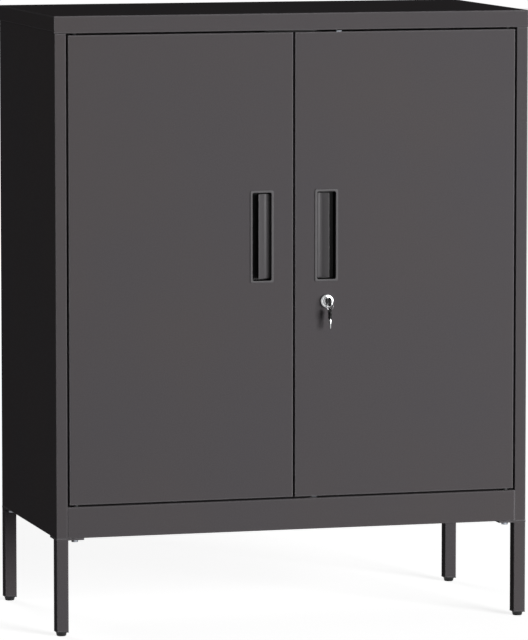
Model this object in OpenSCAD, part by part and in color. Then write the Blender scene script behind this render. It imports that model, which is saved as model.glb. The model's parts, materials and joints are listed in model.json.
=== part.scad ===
// Two-door steel storage cabinet that stands on four square legs.
//
// +X is to the right of someone facing the doors, +Y goes into the cabinet and
// +Z is up. The origin is on the floor, under the middle of the cabinet.

/* [Cabinet] */
// Width over the top panel
width = 800; // [700:10:1000]
// Depth over the top panel
depth = 400; // [360:10:500]
// Height from the floor
height = 1005; // [950:5:1200]
// Thickness of the sheet steel
sheet = 0.8; // [0.6:0.1:1]
// Outer radius of a fold in the sheet
fold_r = 1.6; // [1.2:0.1:2]

/* [Top panel] */
// Height of the front flange
top_front_h = 28; // [26:1:36]
// Height of the side and rear skirts
top_side_h = 25; // [18:1:26]
// Depth of the channel behind the front flange
header_d = 40; // [38:1:50]
// Play between the skirts and the side panels
skirt_fit = 0.2; // [0.1:0.05:0.4]

/* [Frame] */
// Width of a stile, the front face beside a door
stile_w = 19; // [17:0.5:26]
// Height of the rail under the doors
rail_h = 51; // [45:1:70]
// Depth of the fold behind a stile
stile_d = 20; // [18:1:24]
// Height of the lip that stops the doors
stop_lip = 10; // [8:1:14]
// Width of the flanges under the cabinet
foot_flange = 44; // [42:1:50]

/* [Legs] */
// Height of a leg with its foot
leg_h = 160; // [120:5:200]
// Width of the leg tube
leg_w = 20; // [18:1:24]
// Depth of the leg tube
leg_d = 22; // [18:1:24]
// Wall of the leg tube
leg_wall = 1.2; // [1:0.1:2]
// Side of the square plate on top of a leg
plate_side = 46; // [46:1:52]
// Thickness of that plate
plate_t = 3; // [2:0.5:4]
// Height of a plastic foot below the tube
foot_h = 8; // [6:0.5:12]

/* [Doors] */
// Gap round and between the doors
door_gap = 3; // [2.6:0.1:4]
// Thickness of a door
door_t = 20; // [20:0.5:22]
// Width of the flange round the back of a door
door_flange = 15; // [12:1:20]
// Distance of a hinge pin from the door's edge
pivot_in = 12; // [10:0.5:14]
// Distance of a hinge pin behind the door's face
pivot_back = 7; // [6.5:0.5:8]
// Diameter of a hinge pin
pivot_dia = 6; // [5:0.5:7]

/* [Handles] */
// Distance of a handle's middle from the cabinet's middle
handle_x = 54.5; // [45:0.5:90]
// Distance of a handle's rim below the top of the door
handle_drop = 256; // [150:1:300]
// Width of the finger recess
recess_w = 32; // [28:0.5:40]
// Height of the finger recess
recess_h = 143.5; // [100:0.5:180]
// Depth of the finger recess
recess_d = 15.8; // [12:0.1:16.5]
// Width of the rim round the recess
rim_w = 3.8; // [3:0.1:6]
// How far the rim stands out of the door
rim_out = 1.2; // [0.8:0.1:2]
// Width of the curved grip plate inside the recess
grip_w = 21.5; // [18:0.5:23]
// Depth of the grip plate's floor
grip_d = 11; // [8:0.5:12]
// Wall of the handle
handle_wall = 1.2; // [1:0.1:1.4]

/* [Lock] */
// Distance of the lock's axis from the cabinet's middle
lock_x = 55.5; // [50:0.5:58]
// Distance of the lock's axis below the handle's rim
lock_drop = 32; // [31:1:60]
// Diameter of the lock's chrome face
lock_face_dia = 22.6; // [22:0.1:25]
// How far the lock's face stands out of the door
lock_out = 5; // [3:0.5:6]
// Diameter of the threaded lock body
lock_dia = 19; // [18:0.5:20]
// Width of that body over its flats
lock_flats = 16.4; // [16:0.1:17]
// Depth of the lock body behind the door's face
lock_depth = 12.5; // [12:0.1:13]
// Diameter of the turning plug
plug_dia = 13; // [12:0.5:14]
// Radius at which the crank's studs sit
crank_r = 17; // [15:0.5:17]
// Diameter of a stud
stud_dia = 5; // [4:0.5:5.5]
// Width of a lock bar
bar_w = 9; // [8:0.5:10]
// Thickness of a lock bar
bar_t = 2.5; // [2:0.1:2.6]
// How far the bar ends show in the gap when unlocked
bar_tip = 1.4; // [1:0.1:2.5]

/* [Keys] */
// Length of a key's blade
blade_len = 15; // [14:0.5:17]
// Height of a key's blade
blade_h = 6.6; // [5.5:0.1:7]
// Thickness of a key's blade
blade_t = 1.8; // [1.5:0.1:2]
// Width of a key's plastic bow
bow_w = 15; // [14:0.5:18]
// Length of a key's plastic bow
bow_len = 18; // [18:0.5:22]
// Thickness of a key's plastic bow
bow_t = 3; // [2.6:0.1:3.2]
// Diameter of the hole for the ring
bow_hole = 6; // [5.5:0.1:6.5]
// Mean radius of the key ring
ring_r = 5.5; // [5.3:0.1:7]
// Diameter of the ring's wire
ring_wire = 1.2; // [0.8:0.1:1.2]

/* [Shelves] */
// Slot that carries the lower shelf, counted from 0 at the bottom
lower_slot = 6; // [2:1:8]
// Slot that carries the upper shelf
upper_slot = 12; // [9:1:15]
// Height between two slots
slot_pitch = 40; // [30:5:45]
// Height of a shelf's folded edge
shelf_h = 25; // [20:1:35]
// Width of a slotted upright
upright_w = 25; // [20:1:30]
// Depth of a slotted upright
upright_d = 6; // [6:0.5:8]

/* [Hidden] */
$fn = 48;
bend_steps = 3;
touch_fit = 0.3;

PAINT = [0.31, 0.30, 0.32];
ZINC = [0.75, 0.76, 0.78];
CHROME = [0.86, 0.87, 0.88];
BLACK = [0.08, 0.08, 0.09];
NYLON = [0.86, 0.85, 0.80];

// Faces of the cabinet
front = -depth / 2;
back = depth / 2;
half = width / 2;
body_half = half - sheet - skirt_fit;
skin_in = body_half - sheet;
open_half = body_half - stile_w;
body_back = back - sheet - skirt_fit;
base = leg_h;
top = height;
rail_top = base + rail_h;
deck_top = rail_top - sheet;
header = top - top_front_h;
header_lip = 12;
stile_back = front + stile_d;
stile_lip = 12;
rear_flange = 20;
end_flange = 15;

// Doors, their pins and bushes
door_lo = rail_top + door_gap;
door_hi = header - door_gap;
door_out = open_half - door_gap;
door_in = door_gap / 2;
door_mid = (door_in + door_out) / 2;
door_back = front + door_t;
buffer_h = 2.2;
stop_front = door_back + touch_fit + buffer_h;
stop_foot = 12;
pivot_x = door_out - pivot_in;
pivot_y = front + pivot_back;
pivot_r = pivot_dia / 2;
pivot_reach = 8;
pivot_plate_t = 2.5;
pivot_plate_w = 18;
bush_r = pivot_r + 1.2;
bush_flange_r = pivot_back - fold_r;
running = 0.05;
rib_w = 34;
rib_flange = 20;
rib_d = 15;
rib_short = 20;

// Handle
handle_top = door_hi - handle_drop;
handle_h = recess_h + 2 * rim_w;
handle_low = handle_top - handle_h;
handle_mid = handle_top - handle_h / 2;
handle_round = 3;

// Lock and bars: depths are measured from the door's face
lock_z = handle_low - lock_drop;
plug_r = plug_dia / 2;
plug_inset = 0.4;
keyway_end = lock_depth - 0.5;
tail = 7;
nut_r = 13.8;
nut_t = 3.5;
deep_lane = lock_depth + 0.5;
crank_lane = deep_lane + bar_t + 0.5;
crank_t = 2;
crank_w = 10;
stud_rise = crank_r / sqrt(2);
stud_r = stud_dia / 2;
yoke_play = 0.65;
yoke_h = 15;
yoke_inner = 6.2;
skin_lane = 5;
strike_play = 1.5;
joggle_from = 40;
joggle_to = 52;
upper_bar_x = handle_x + recess_w / 2 + handle_wall + 0.8 + bar_w / 2;
lower_bar_x = lock_x - 19.5;
guide_w = 22;
guide_h = 14;
guide_d = 12;
upper_guide_z = [handle_top + 42, door_hi - 34];
lower_guide_z = [door_lo + 46, lock_z - 104];

// Key and ring: outward distances are measured from the door's face
bow_start = lock_out + 0.5;
bow_r = bow_w / 2;
bow_mid = bow_start + bow_len - bow_r;
bow_edge = 0.6;
hole_r = bow_hole / 2;
hole_out = bow_mid + 3;
bridge_low = sqrt(pow(bow_r, 2) - pow(hole_out - bow_mid, 2));
bridge_mid = (hole_r + bridge_low) / 2;
wire_r = ring_wire / 2;
ring_drop = bridge_mid + ring_r - wire_r - norm([bow_t / 2, bridge_mid - hole_r]) - touch_fit;
spare_drop = ring_drop + ring_r - wire_r - touch_fit + hole_r;

// Uprights and shelves
upright_gap = 7;
slots_from = rail_top + 20;
slot_count = floor((header - upright_gap - 5 - slots_from) / slot_pitch);
slot_h = 3;
slot_w = 12;
upright_t = 1;
upright_face = skin_in - upright_d;
front_upright_y = front + 60;
rear_upright_y = body_back - 50;
clip_t = 2;
shelf_flange = 12;
shelf_half = upright_face - 1;
shelf_front = front + 34;
shelf_back = body_back - 2 * sheet - 2;

// Screws and bolts
screw_r = 1.9;
screw_head_r = 3.8;
screw_head_h = 2.2;
screw_len = 11;
side_screw_x = body_half - rear_flange / 2;
side_screw_z = [for (i = [0 : 4]) base + 22 + i * (header - base - 40) / 4];
floor_screw_x = [-250, 0, 250];
floor_screw_z = base + 26;
catch_half = 45;
catch_ear = 11;
catch_h = 15;
catch_d = 17.5;
catch_front = door_back + touch_fit + 0.5;
catch_screw_x = catch_half - catch_ear / 2;
catch_screw_y = catch_front + catch_d / 2;
catch_screw_r = 1.6;
bolt_r = 3;
bolt_hex_r = 5.7;
bolt_places = [[33, 11], [10, 34]];

// ---------------------------------------------------------------- shapes in folded sheet

function unit(v) = v / norm(v);
function left_of(v) = [-v.y, v.x];
function turned(v, a) = [v.x * cos(a) - v.y * sin(a), v.x * sin(a) + v.y * cos(a)];
function backwards(list) = [for (i = [len(list) - 1 : -1 : 0]) list[i]];

// Round corner of radius r at p, between the directions u and v
function corner(p, u, v, r) =
    let (a = atan2(cross(u, v), u * v), k = r * tan(abs(a) / 2), n = sign(a) * r)
    r < 0.05 ? [p] :
    [for (i = [0 : bend_steps])
        p - k * u + n * left_of(u) - n * turned(left_of(u), a * i / bend_steps)];

// One face of a sheet of thickness t that is folded along a path, at d from the path
function sheet_face(path, t, r, d) =
    let (n = len(path) - 1, dirs = [for (i = [0 : n - 1]) unit(path[i + 1] - path[i])])
    [for (i = [0 : n]) each
        i == 0 ? [path[0] + d * left_of(dirs[0])] :
        i == n ? [path[n] + d * left_of(dirs[n - 1])] :
        let (u = dirs[i - 1], v = dirs[i])
        corner(path[i] + d * (left_of(u) + left_of(v)) / (1 + u * v), u, v,
               cross(u, v) > 0 ? r - d : r - t + d)];

// Outline of a sheet that lies on the left of its path and has round folds
function folded(path, t = sheet, r = fold_r) =
    concat(sheet_face(path, t, r, 0), backwards(sheet_face(path, t, r, t)));

function round_rect(x0, x1, y0, y1, r) =
    [for (k = [0 : 3], i = [0 : bend_steps])
        let (a = 90 * (k + i / bend_steps))
        [(k == 0 || k == 3 ? x1 - r : x0 + r) + r * cos(a),
         (k < 2 ? y1 - r : y0 + r) + r * sin(a)]];

module along_z(z0, z1) {
    translate([0, 0, z0]) linear_extrude(z1 - z0) children();
}

// The profile's x and y become the cabinet's y and z
module along_x(x0, x1) {
    translate([x0, 0, 0]) rotate([90, 0, 90]) linear_extrude(x1 - x0) children();
}

// The profile's x and y become the cabinet's x and z
module along_y(y0, y1) {
    translate([0, y1, 0]) rotate([90, 0, 0]) linear_extrude(y1 - y0) children();
}

module block(a, b) {
    translate(a) cube(b - a);
}

module rod_y(x, z, y0, y1, r, r_end = undef) {
    translate([x, y0, z]) rotate([-90, 0, 0])
        cylinder(h = y1 - y0, r1 = r, r2 = is_undef(r_end) ? r : r_end);
}

module rod_z(x, y, z0, z1, r) {
    translate([x, y, z0]) cylinder(h = z1 - z0, r = r);
}

// A block with every edge as round as a fold
module soft_block(a, b, r = fold_r) {
    intersection() {
        along_z(a.z, b.z) polygon(round_rect(a.x, b.x, a.y, b.y, r));
        along_x(a.x, b.x) polygon(round_rect(a.y, b.y, a.z, b.z, r));
        along_y(a.y, b.y) polygon(round_rect(a.x, b.x, a.z, b.z, r));
    }
}

module both_sides() {
    children();
    mirror([1, 0, 0]) children();
}

// Opening for a lock bar in a flange between z0 and z1
module bar_slot(x, z0, z1, play) {
    block([x - bar_w / 2 - play, front + skin_lane - play, z0],
          [x + bar_w / 2 + play, front + skin_lane + bar_t + play, z1]);
}

// ---------------------------------------------------------------- cabinet

// Tray with a high front flange that turns back under itself as a channel
module top_panel() {
    channel = [[front, header + header_lip], [front, header],
               [front + header_d, header], [front + header_d, header + header_lip]];
    color(PAINT) difference() {
        union() {
            difference() {
                soft_block([-half, front, header], [half, back, top]);
                block([-half + sheet, front + sheet, header - 1], [half - sheet, back - sheet, top - sheet]);
                block([-half - 1, front + fold_r, header - 1], [half + 1, back + 1, top - top_side_h]);
            }
            along_x(-skin_in + skirt_fit, skin_in - skirt_fit) polygon(folded(channel));
        }
        both_sides() {
            rod_z(pivot_x, pivot_y, header - 1, header + 2, bush_r);
            rod_z(catch_screw_x, catch_screw_y, header - 1, header + 2, catch_screw_r);
        }
        bar_slot(upper_bar_x, header - 1, header + 2, strike_play);
    }
}

// Skin, stile and rear flange from one sheet, with narrow flanges at both ends
module side_panel() {
    plan = [[-body_half + rear_flange, body_back], [-body_half, body_back], [-body_half, front],
            [-open_half, front], [-open_half, stile_back], [-open_half - stile_lip, stile_back]];
    color(PAINT) difference() {
        union() {
            along_z(base, top - sheet) polygon(folded(plan));
            for (z = [base, top - 2 * sheet])
                block([-body_half + sheet, front + header_d, z],
                      [-body_half + end_flange, body_back - fold_r, z + sheet]);
        }
        // the stile ends under the top panel and the skin goes on behind its skirt
        block([-skin_in, front - 1, header - touch_fit], [-open_half + 1, stile_back + 1, top]);
        block([-half, front - 1, header - touch_fit], [-open_half, front + sheet + touch_fit, top]);
        for (z = side_screw_z)
            rod_y(-side_screw_x, z, body_back - 2, body_back + 1, screw_r);
        leg_bolt_holes(base - 1, base + 2);
    }
}

module left_side_panel() {
    side_panel();
}

module right_side_panel() {
    mirror([1, 0, 0]) side_panel();
}

// Flat sheet between the rear flanges and the floor tray
module back_panel() {
    edge = skin_in - 1;
    color(PAINT) difference() {
        block([-edge, body_back - 2 * sheet, base + 1], [edge, body_back - sheet, top - 1]);
        for (z = side_screw_z)
            both_sides() rod_y(side_screw_x, z, back - 5, back, screw_r);
        for (x = floor_screw_x)
            rod_y(x, floor_screw_z, back - 5, back, screw_r);
    }
}

module pan_head_screw(x, z, y_seat) {
    rod_y(x, z, y_seat - screw_len, y_seat, screw_r);
    rod_y(x, z, y_seat, y_seat + screw_head_h, screw_head_r, screw_head_r * 0.7);
}

module back_screws() {
    color(ZINC) {
        for (z = side_screw_z)
            both_sides() pan_head_screw(side_screw_x, z, body_back);
        for (x = floor_screw_x)
            pan_head_screw(x, floor_screw_z, body_back - sheet);
    }
}

// Upside-down tray whose flanges rest on the frame and take the leg bolts
module floor_panel() {
    edge = skin_in - 0.2;
    rear = body_back - 2 * sheet;
    low = base + sheet;
    deck_front = front + 14;
    color(PAINT) difference() {
        union() {
            block([-edge, stile_back + touch_fit, low], [edge, rear, deck_top]);
            block([-open_half + touch_fit, deck_front, deck_top - sheet],
                  [open_half - touch_fit, rear, deck_top]);
            block([-open_half + touch_fit, front + fold_r, low],
                  [open_half - touch_fit, rear, low + sheet]);
        }
        block([-edge + sheet, front, low + sheet], [edge - sheet, rear - sheet, deck_top - sheet]);
        block([-edge + foot_flange, front, low - 1],
              [edge - foot_flange, rear - end_flange, deck_top - sheet]);
        for (x = floor_screw_x)
            rod_y(x, floor_screw_z, rear - 5, rear + 1, screw_r);
        both_sides() {
            rod_y(side_screw_x, side_screw_z[0], rear - 5, rear + 1, screw_r);
            leg_bolt_holes(base - 1, base + 3);
        }
    }
}

// Channel under the doors
module bottom_rail() {
    shape = [[stop_front, rail_top], [front, rail_top], [front, base], [front + 25, base]];
    color(PAINT) difference() {
        along_x(-open_half + 0.2, open_half - 0.2) polygon(folded(shape));
        both_sides() {
            rod_z(pivot_x, pivot_y, rail_top - 2, rail_top + 1, bush_r);
            leg_bolt_holes(base - 1, base + 2);
        }
        bar_slot(lower_bar_x, rail_top - 2, rail_top + 1, strike_play);
    }
}

// Angle strip on the deck that stops the doors; it ends where a door's rear corner swings past
module door_stop() {
    shape = [[stop_front, rail_top + stop_lip], [stop_front, deck_top], [stop_front + stop_foot, deck_top]];
    color(PAINT) along_x(door_t - pivot_x, pivot_x - door_t) polygon(folded(shape));
}

// Slotted channel on the inside of the right skin
module upright(y) {
    shape = [[skin_in, y - upright_w / 2], [upright_face, y - upright_w / 2],
             [upright_face, y + upright_w / 2], [skin_in, y + upright_w / 2]];
    color(PAINT) difference() {
        along_z(deck_top, header - upright_gap) polygon(folded(backwards(shape), upright_t, 2));
        for (i = [0 : slot_count - 1])
            block([upright_face - 1, y - slot_w / 2, slots_from + i * slot_pitch],
                  [upright_face + upright_t + 0.5, y + slot_w / 2, slots_from + i * slot_pitch + slot_h]);
    }
}

module left_front_upright() {
    mirror([1, 0, 0]) upright(front_upright_y);
}

module left_rear_upright() {
    mirror([1, 0, 0]) upright(rear_upright_y);
}

module right_front_upright() {
    upright(front_upright_y);
}

module right_rear_upright() {
    upright(rear_upright_y);
}

// Four clips: a ledge, a hook behind the upright and a leg against its face
module shelf_clips(slot) {
    z = slots_from + slot * slot_pitch;
    behind = upright_face + upright_t + 0.1;
    clip_w = slot_w - 1;
    color(ZINC) both_sides() for (y = [front_upright_y, rear_upright_y])
        translate([0, y, z]) {
            block([upright_face - 20, -clip_w / 2, 0], [behind + clip_t, clip_w / 2, clip_t]);
            block([behind, -clip_w / 2, -6], [behind + clip_t, clip_w / 2, clip_t]);
            block([upright_face - clip_t, -clip_w / 2, -14], [upright_face, clip_w / 2, clip_t]);
        }
}

module upper_shelf_clips() {
    shelf_clips(upper_slot);
}

module lower_shelf_clips() {
    shelf_clips(lower_slot);
}

// Upside-down tray with a flange turned in under all four edges
module shelf(slot) {
    z = slots_from + slot * slot_pitch + clip_t;
    color(PAINT) difference() {
        soft_block([-shelf_half, shelf_front, z], [shelf_half, shelf_back, z + shelf_h]);
        block([-shelf_half + sheet, shelf_front + sheet, z + sheet],
              [shelf_half - sheet, shelf_back - sheet, z + shelf_h - sheet]);
        block([-shelf_half + shelf_flange, shelf_front + shelf_flange, z - 1],
              [shelf_half - shelf_flange, shelf_back - shelf_flange, z + 2]);
    }
}

module upper_shelf() {
    shelf(upper_slot);
}

module lower_shelf() {
    shelf(lower_slot);
}

// ---------------------------------------------------------------- legs

module leg_bolt_holes(z0, z1) {
    for (p = bolt_places) {
        rod_z(-body_half + p.x, front + p.y, z0, z1, bolt_r);
        rod_z(-body_half + p.x, body_back - p.y, z0, z1, bolt_r);
    }
}

// Puts children, drawn with the outer corner at the origin, at a corner of the body
module at_corner(side, end) {
    translate([side * body_half, end < 0 ? front : body_back, 0])
        mirror([side > 0 ? 1 : 0, 0, 0]) mirror([0, end > 0 ? 1 : 0, 0]) children();
}

// Square tube welded under a plate
module leg(side, end) {
    color(PAINT) at_corner(side, end) difference() {
        union() {
            along_z(foot_h, base - plate_t) polygon(round_rect(0, leg_w, 0, leg_d, fold_r));
            block([0, 0, base - plate_t], [plate_side, plate_side, base]);
        }
        block([leg_wall, leg_wall, foot_h - 1], [leg_w - leg_wall, leg_d - leg_wall, base - plate_t]);
        for (p = bolt_places)
            rod_z(p.x, p.y, base - plate_t - 1, base + 1, bolt_r);
    }
}

module front_left_leg() {
    leg(-1, -1);
}

module front_right_leg() {
    leg(1, -1);
}

module rear_left_leg() {
    leg(-1, 1);
}

module rear_right_leg() {
    leg(1, 1);
}

// Round pad under a square collar, with a plug that fills the end of the tube
module foot(side, end) {
    pad_r = 8;
    pad_edge = 1.2;
    collar = foot_h * 0.2;
    play = 0.1;
    color(BLACK) at_corner(side, end) {
        translate([leg_w / 2, leg_d / 2, 0]) {
            cylinder(h = pad_edge, r1 = pad_r - pad_edge, r2 = pad_r);
            translate([0, 0, pad_edge]) cylinder(h = foot_h - pad_edge, r = pad_r);
        }
        along_z(foot_h - collar, foot_h) polygon(round_rect(0, leg_w, 0, leg_d, fold_r));
        block([leg_wall + play, leg_wall + play, foot_h - collar],
              [leg_w - leg_wall - play, leg_d - leg_wall - play, foot_h + 12]);
    }
}

module front_left_foot() {
    foot(-1, -1);
}

module front_right_foot() {
    foot(1, -1);
}

module rear_left_foot() {
    foot(-1, 1);
}

module rear_right_foot() {
    foot(1, 1);
}

module at_leg_bolts() {
    for (side = [-1, 1], end = [-1, 1], p = bolt_places)
        at_corner(side, end) translate([p.x, p.y, 0]) children();
}

module leg_bolts() {
    color(ZINC) at_leg_bolts() {
        translate([0, 0, base - plate_t - 4]) cylinder(h = 4, r = bolt_hex_r, $fn = 6);
        translate([0, 0, base - plate_t]) cylinder(h = plate_t + 8.6, r = bolt_r);
    }
}

module leg_nuts() {
    color(ZINC) at_leg_bolts() difference() {
        translate([0, 0, base + 2 * sheet]) cylinder(h = 5, r = bolt_hex_r, $fn = 6);
        translate([0, 0, base]) cylinder(h = 9, r = bolt_r);
    }
}

// ---------------------------------------------------------------- hinges, catch and stops

module bush(z0, z1, flange_z0, flange_z1) {
    color(BLACK) both_sides() difference() {
        union() {
            rod_z(pivot_x, pivot_y, z0, z1, bush_r);
            rod_z(pivot_x, pivot_y, flange_z0, flange_z1, bush_flange_r);
        }
        rod_z(pivot_x, pivot_y, z0 - 1, z1 + 1, pivot_r + running);
        rod_z(pivot_x, pivot_y, flange_z0 - 1, flange_z1 + 1, pivot_r + running);
    }
}

module upper_hinge_bushes() {
    bush(header - 1.5, header + 7, header + sheet, header + sheet + 1);
}

// Their thick flanges carry the doors
module lower_hinge_bushes() {
    bush(rail_top - 6, rail_top + 1, rail_top, door_lo - touch_fit);
}

module magnet_places() {
    for (x = [-18, 18])
        translate([x, catch_front, header - catch_h / 2]) children();
}

// Double catch with a screw ear at each end, under the header
module catch_case() {
    ear_t = 4;
    color(BLACK) difference() {
        union() {
            block([-catch_half, catch_front, header - ear_t], [catch_half, catch_front + catch_d, header]);
            block([-catch_half + catch_ear, catch_front, header - catch_h],
                  [catch_half - catch_ear, catch_front + catch_d, header]);
        }
        magnet_places() block([-12, -1, -4], [12, 12, 4]);
        both_sides() rod_z(catch_screw_x, catch_screw_y, header - ear_t - 1, header + 1, catch_screw_r);
    }
}

module catch_magnets() {
    color(ZINC) magnet_places() block([-12, -0.5, -4], [12, 12, 4]);
}

module catch_screws() {
    color(ZINC) both_sides() {
        rod_z(catch_screw_x, catch_screw_y, header - 4, header + 4, catch_screw_r);
        rod_z(catch_screw_x, catch_screw_y, header - 6, header - 4, catch_screw_r * 2);
    }
}

// Rubber domes on the front of the stop
module door_buffers() {
    z = rail_top + stop_lip / 2 + 0.2;
    color(BLACK) both_sides() {
        rod_y(25, z, stop_front - buffer_h / 2, stop_front, 4.5);
        rod_y(25, z, stop_front - buffer_h, stop_front - buffer_h / 2, 3.2, 4.5);
    }
}

// ---------------------------------------------------------------- doors

// Shallow pan with a flange turned in all round its back, cut for the handle and pins
module door_shell() {
    cut_w = recess_w / 2 + handle_wall;
    cut_h = recess_h / 2 + handle_wall;
    difference() {
        soft_block([door_in, front, door_lo], [door_out, door_back, door_hi]);
        block([door_in + sheet, front + sheet, door_lo + sheet],
              [door_out - sheet, door_back - sheet, door_hi - sheet]);
        block([door_in + door_flange, door_back - 2, door_lo + door_flange],
              [door_out - door_flange, door_back + 1, door_hi - door_flange]);
        along_y(front - 1, front + 2)
            polygon(round_rect(handle_x - cut_w, handle_x + cut_w, handle_mid - cut_h, handle_mid + cut_h,
                               handle_round + handle_wall));
        for (z = [door_lo, door_hi])
            rod_z(pivot_x, pivot_y, z - 1, z + 1, pivot_r);
    }
}

module left_door_panel() {
    color(PAINT) mirror([1, 0, 0]) door_shell();
}

module right_door_panel() {
    color(PAINT) difference() {
        door_shell();
        along_y(front - 1, front + 2) lock_outline();
        bar_slot(upper_bar_x, door_hi - 2, door_hi + 1, 0.5);
        bar_slot(lower_bar_x, door_lo - 1, door_lo + 2, 0.5);
    }
}

// Hat channel behind the middle of a door
module stiffener() {
    skin = front + sheet;
    side = rib_w / 2;
    shape = [[door_mid - side - rib_flange, skin], [door_mid - side, skin], [door_mid - side, skin + rib_d],
             [door_mid + side, skin + rib_d], [door_mid + side, skin], [door_mid + side + rib_flange, skin]];
    along_z(door_lo + rib_short, door_hi - rib_short) polygon(folded(shape));
}

module left_door_stiffener() {
    color(PAINT) mirror([1, 0, 0]) stiffener();
}

module right_door_stiffener() {
    color(PAINT) stiffener();
}

// Hinge pin on a plate that is welded inside the door's end; dir is 1 at the top
module hinge_pin(dir) {
    inside = dir > 0 ? door_hi - sheet : door_lo + sheet;
    tip = dir > 0 ? header + pivot_reach : rail_top - pivot_reach;
    plate = inside - dir * pivot_plate_t;
    rod_z(pivot_x, pivot_y, min(plate, tip), max(plate, tip), pivot_r);
    block([pivot_x - pivot_plate_w / 2, front + sheet, min(inside, plate)],
          [pivot_x + pivot_plate_w / 2, door_back - sheet, max(inside, plate)]);
}

module left_upper_pin() {
    color(BLACK) mirror([1, 0, 0]) hinge_pin(1);
}

module left_lower_pin() {
    color(BLACK) mirror([1, 0, 0]) hinge_pin(-1);
}

module right_upper_pin() {
    color(BLACK) hinge_pin(1);
}

module right_lower_pin() {
    color(BLACK) hinge_pin(-1);
}

// Closed cup behind a rim, with a curved grip plate that leaves a slot for the fingers
module handle() {
    near = handle_x - recess_w / 2;
    far = handle_x + recess_w / 2;
    low = handle_mid - recess_h / 2;
    high = handle_mid + recess_h / 2;
    grip_end = 2.5;
    curve = [[near, front], [near + handle_wall, front + grip_d], [near + grip_w, front + grip_d]];
    difference() {
        union() {
            along_y(front - rim_out, front)
                polygon(round_rect(near - rim_w, far + rim_w, low - rim_w, high + rim_w, handle_round));
            along_y(front, front + recess_d + handle_wall)
                polygon(round_rect(near - handle_wall, far + handle_wall, low - handle_wall,
                                   high + handle_wall, handle_round + handle_wall));
        }
        along_y(front - rim_out - 1, front + recess_d)
            polygon(round_rect(near, far, low, high, handle_round));
    }
    along_z(low + grip_end, high - grip_end) polygon(folded(curve, handle_wall, 9));
}

module left_handle() {
    color(PAINT) mirror([1, 0, 0]) handle();
}

module right_handle() {
    color(PAINT) handle();
}

// ---------------------------------------------------------------- lock

// Section of the threaded lock body: a circle with two flats
module lock_outline() {
    intersection() {
        translate([lock_x, lock_z]) circle(d = lock_dia);
        translate([lock_x, lock_z]) square([lock_flats, lock_dia + 1], center = true);
    }
}

module lock_body() {
    face_r = lock_face_dia / 2;
    bevel = 1.2;
    color(CHROME) difference() {
        union() {
            rod_y(lock_x, lock_z, front - lock_out, front - lock_out + bevel, face_r - bevel, face_r);
            rod_y(lock_x, lock_z, front - lock_out + bevel, front, face_r);
            along_y(front, front + lock_depth) lock_outline();
        }
        rod_y(lock_x, lock_z, front - lock_out - 1, front + lock_depth + 1, plug_r + running);
    }
}

module lock_nut() {
    color(ZINC) difference() {
        translate([lock_x, front + sheet, lock_z]) rotate([-90, 0, 0])
            cylinder(h = nut_t, r = nut_r, $fn = 6);
        rod_y(lock_x, lock_z, front, front + 2 * nut_t, lock_dia / 2);
    }
}

// Plug with the keyway in front and a square tail behind
module lock_plug() {
    play = touch_fit;
    color(CHROME) difference() {
        union() {
            rod_y(lock_x, lock_z, front - lock_out + plug_inset, front + lock_depth, plug_r);
            translate([lock_x, 0, lock_z])
                block([-tail / 2, front + lock_depth - 1, -tail / 2],
                      [tail / 2, front + crank_lane + crank_t, tail / 2]);
        }
        translate([lock_x, 0, lock_z])
            block([-blade_t / 2 - play, front - lock_out - 1, -blade_h / 2 - play],
                  [blade_t / 2 + play, front + keyway_end, blade_h / 2 + play]);
        rod_y(lock_x, lock_z, front + lock_depth + 1, front + crank_lane + crank_t + 1, screw_r);
    }
}

// The two places where studs sit on the crank: the first drives the upper bar
module at_studs() {
    for (s = [1, -1])
        translate([lock_x + s * stud_rise, 0, lock_z - s * stud_rise]) children();
}

module lock_crank() {
    color(ZINC) difference() {
        union() {
            at_studs() rod_y(0, 0, front + crank_lane, front + crank_lane + crank_t, crank_w / 2 + 0.5);
            translate([lock_x, 0, lock_z]) rotate([0, 45, 0])
                block([-crank_r, front + crank_lane, -crank_w / 2],
                      [crank_r, front + crank_lane + crank_t, crank_w / 2]);
            rod_y(lock_x, lock_z, front + crank_lane, front + crank_lane + crank_t, tail);
        }
        translate([lock_x, 0, lock_z])
            block([-tail / 2, front + crank_lane - 1, -tail / 2],
                  [tail / 2, front + crank_lane + crank_t + 1, tail / 2]);
        at_studs() rod_y(0, 0, front + crank_lane - 1, front + crank_lane + 3, stud_r);
    }
}

module crank_studs() {
    color(ZINC) at_studs() rod_y(0, 0, front + deep_lane - 0.1, front + crank_lane + crank_t, stud_r);
}

module crank_screw() {
    seat = front + crank_lane + crank_t;
    color(ZINC) {
        rod_y(lock_x, lock_z, front + lock_depth + 1, seat, screw_r);
        rod_y(lock_x, lock_z, seat, seat + 1.6, 5, 4);
    }
}

// Flat bar with a slotted yoke at one end and a joggle towards the door's skin;
// side is 1 for the bar that goes up and -1 for the one that goes down
module lock_bar(side, bar_x, tip) {
    stud_z = lock_z - side * stud_rise;
    deep = front + deep_lane + bar_t;
    near = front + skin_lane + bar_t;
    path = [[deep, stud_z], [deep, lock_z + side * joggle_from],
            [near, lock_z + side * joggle_to], [near, tip]];
    slot_from = stud_rise - stud_r - yoke_play;
    slot_to = crank_r + stud_r + yoke_play;
    yoke_out = side * (bar_x - lock_x) + bar_w / 2;
    color(ZINC) difference() {
        union() {
            along_x(bar_x - bar_w / 2, bar_x + bar_w / 2)
                polygon(folded(side > 0 ? path : backwards(path), bar_t, bar_t + 1));
            translate([lock_x, 0, stud_z]) mirror([side > 0 ? 0 : 1, 0, 0])
                block([yoke_inner, front + deep_lane, -yoke_h / 2], [yoke_out, deep, yoke_h / 2]);
        }
        translate([lock_x, 0, stud_z]) mirror([side > 0 ? 0 : 1, 0, 0])
            block([slot_from, front, -stud_r - yoke_play], [slot_to, deep + 1, stud_r + yoke_play]);
    }
}

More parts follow.
